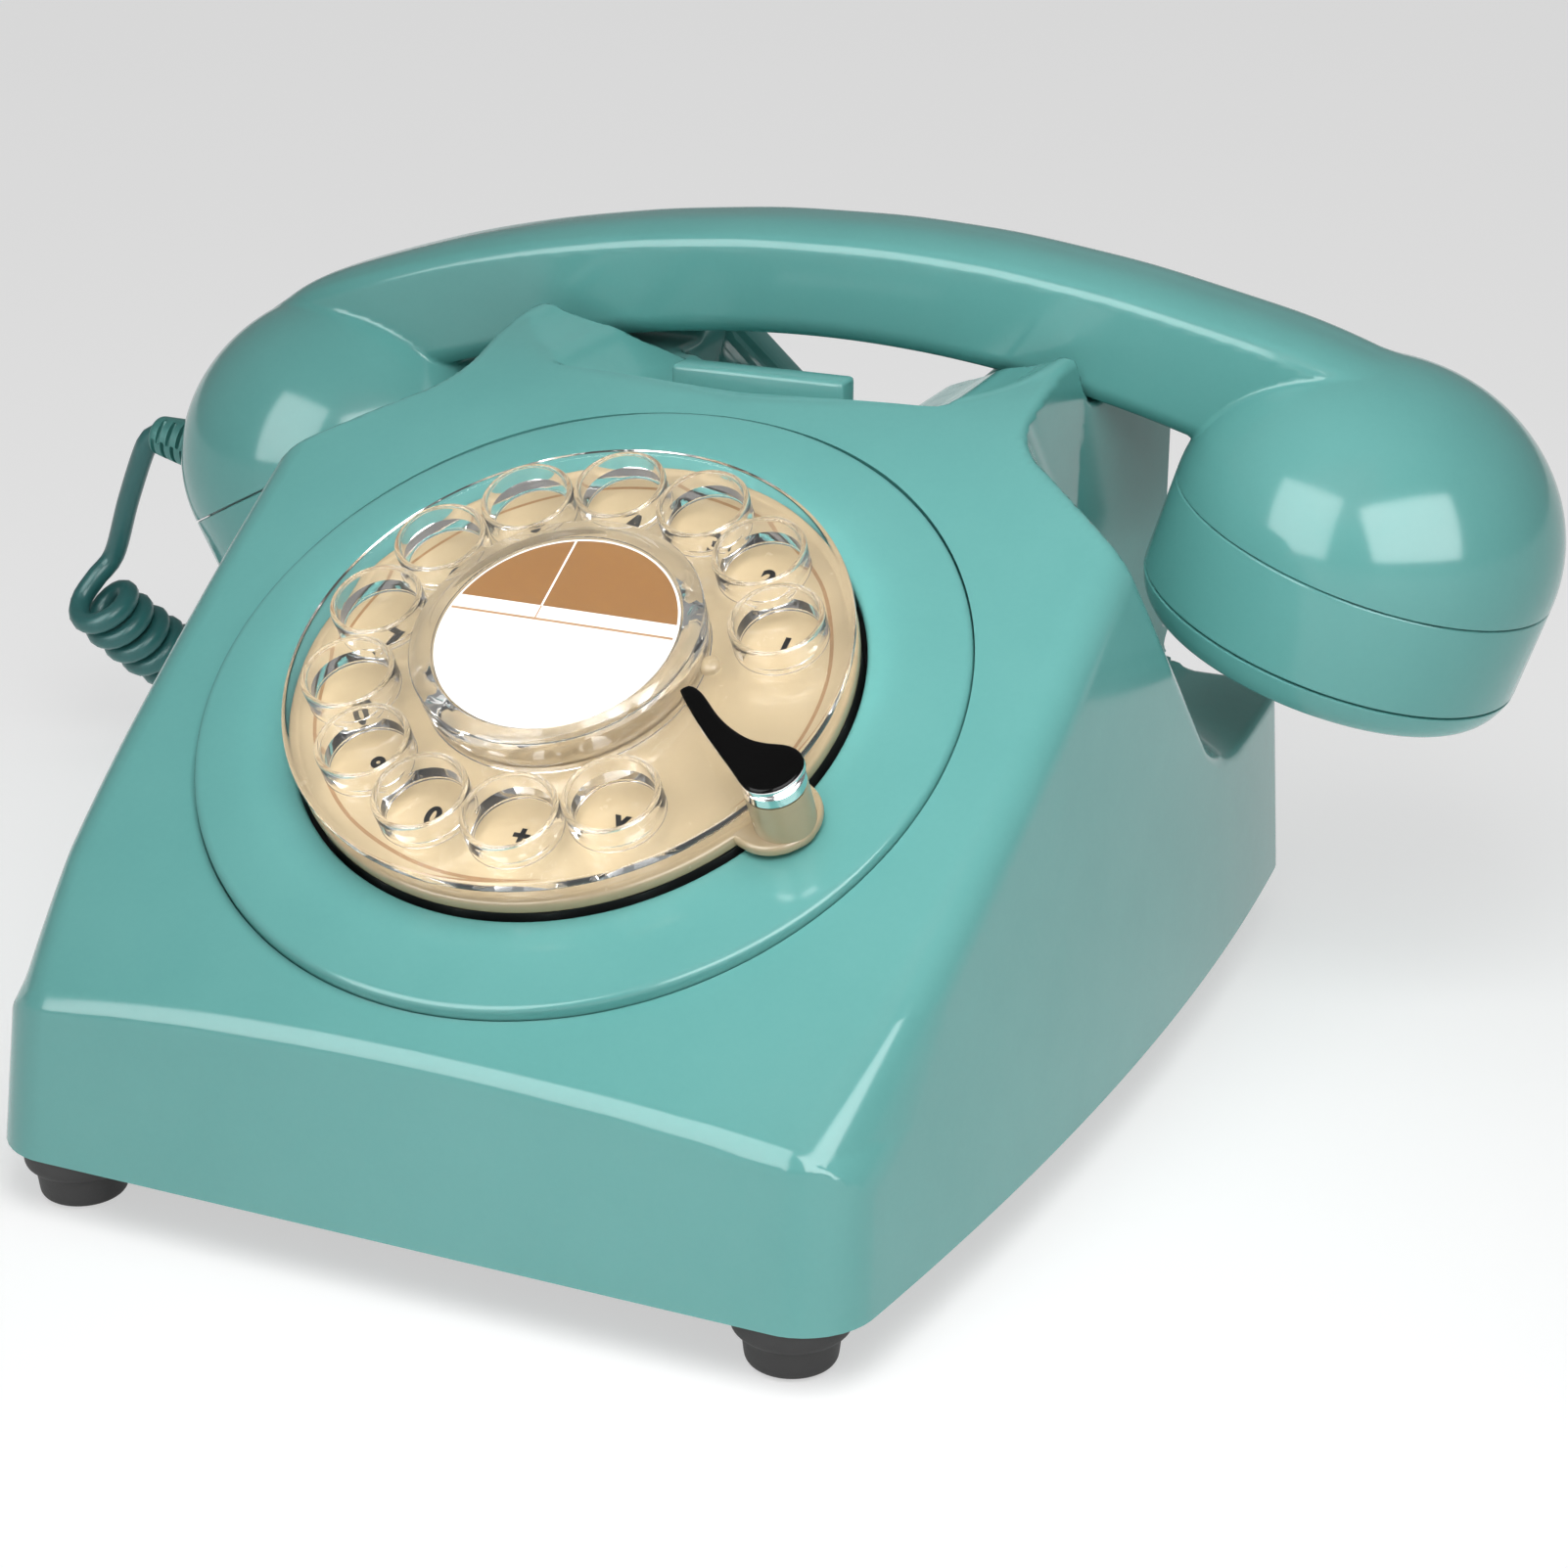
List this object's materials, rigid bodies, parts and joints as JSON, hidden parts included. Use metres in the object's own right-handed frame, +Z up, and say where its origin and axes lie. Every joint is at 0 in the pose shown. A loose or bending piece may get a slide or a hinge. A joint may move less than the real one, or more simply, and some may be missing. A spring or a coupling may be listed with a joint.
{
  "type": "rotary telephone",
  "caption": "Desk telephone with a wedge-shaped moulded case, a rotary dial with a clear finger wheel, and a handset resting across a cradle on a curly cord.",
  "frame": {"origin": "centre of the footprint of the telephone with its handset on, cord left out, at the underside of the rubber feet", "axes": "+X to the right along the handset, from mouthpiece to earpiece; +Y to the back; +Z up; the dial faces -Y"},
  "size_m": [0.2937, 0.2291, 0.127],
  "materials": {
    "teal_plastic": "gloss",
    "cream_plastic": "satin",
    "clear_plastic": "clear",
    "black_plastic": "matte",
    "rubber": "matte",
    "steel": "brushed",
    "brass": "satin",
    "polished_metal": "polished",
    "paper": "paper",
    "copper_wire": "varnished",
    "board": "satin",
    "cord_plastic": "satin"
  },
  "bodies": {
    "case": {"case_shell": "teal_plastic", "base_plate": "black_plastic", "foot_front_left": "rubber", "foot_front_right": "rubber", "foot_rear_left": "rubber", "foot_rear_right": "rubber", "base_screw_front_left": "steel", "base_screw_front_right": "steel", "base_screw_rear_left": "steel", "base_screw_rear_right": "steel", "dial_plate": "cream_plastic", "dial_cup": "black_plastic", "finger_stop": "polished_metal", "return_spring": "steel", "dial_frame": "steel", "governor_cup": "steel", "pulse_contacts": "black_plastic", "hook_tower": "steel", "hook_contacts": "black_plastic", "hook_spring": "steel", "ringer_plate": "steel", "gong_left": "brass", "gong_right": "brass", "gong_screw_left": "steel", "gong_screw_right": "steel", "ringer_coil": "copper_wire", "circuit_board": "board", "induction_coil": "copper_wire", "terminal_block": "black_plastic", "capacitor": "steel", "line_socket": "black_plastic", "cord_gland": "cord_plastic", "curly_cord": "cord_plastic", "cord_lead_case": "cord_plastic"},
    "dial": {"finger_wheel": "clear_plastic", "label_tray": "cream_plastic", "label_card": "paper", "label_cover": "clear_plastic", "dial_shaft": "steel", "main_gear": "brass", "ratchet_wheel": "steel"},
    "governor": {"governor": "brass"},
    "hook_bar": {"hook_bar": "teal_plastic"},
    "hook_lever": {"hook_lever": "steel"},
    "clapper": {"clapper": "steel"},
    "handset": {"handset_body": "teal_plastic", "earpiece_band": "teal_plastic", "earpiece_cap": "teal_plastic", "mouthpiece_band": "teal_plastic", "mouthpiece_cap": "teal_plastic", "receiver_capsule": "steel", "microphone_capsule": "black_plastic", "handset_weight": "steel", "cord_boot": "cord_plastic", "cord_lead_handset": "cord_plastic"}
  },
  "joints": [
    {"name": "dial_turn", "type": "hinge", "parent": "case", "child": "dial", "pos_m": [0.00084, -0.03583, 0.07301], "axis": [0, -0.4939, 0.8695], "range_deg": [-318, 0], "stiffness_Nm_per_rad": 0.003, "springref_deg": 45.84, "deforming": ["return_spring"]},
    {"name": "governor_spin", "type": "hinge", "parent": "case", "child": "governor", "pos_m": [-0.02093, -0.03478, 0.0506], "axis": [0, -0.4939, 0.8695], "range_deg": [0, 1280]},
    {"name": "hook_press", "type": "slide", "parent": "case", "child": "hook_bar", "axis": [0, 0, 1], "range_m": [-0.0025, 0], "stiffness_N_per_m": 300, "springref_m": 0.004, "deforming": ["hook_spring"]},
    {"name": "hook_lever_tilt", "type": "hinge", "parent": "case", "child": "hook_lever", "pos_m": [0.00084, 0.02265, 0.084], "axis": [1, 0, 0], "range_deg": [-12.5, 0]},
    {"name": "clapper_swing", "type": "hinge", "parent": "case", "child": "clapper", "pos_m": [0.00084, 0.04355, 0.02], "axis": [0, 0, 1], "range_deg": [-3, 3], "stiffness_Nm_per_rad": 0.002},
    {"name": "handset_lift", "type": "slide", "parent": "case", "child": "handset", "axis": [0, 0, 1], "range_m": [0, 0.12]}
  ],
  "couplings": [
    {"joint": "governor_spin", "follows": "dial_turn", "ratio": -4},
    {"joint": "hook_lever_tilt", "follows": "hook_press", "rad_per_m": 84.5}
  ]
}
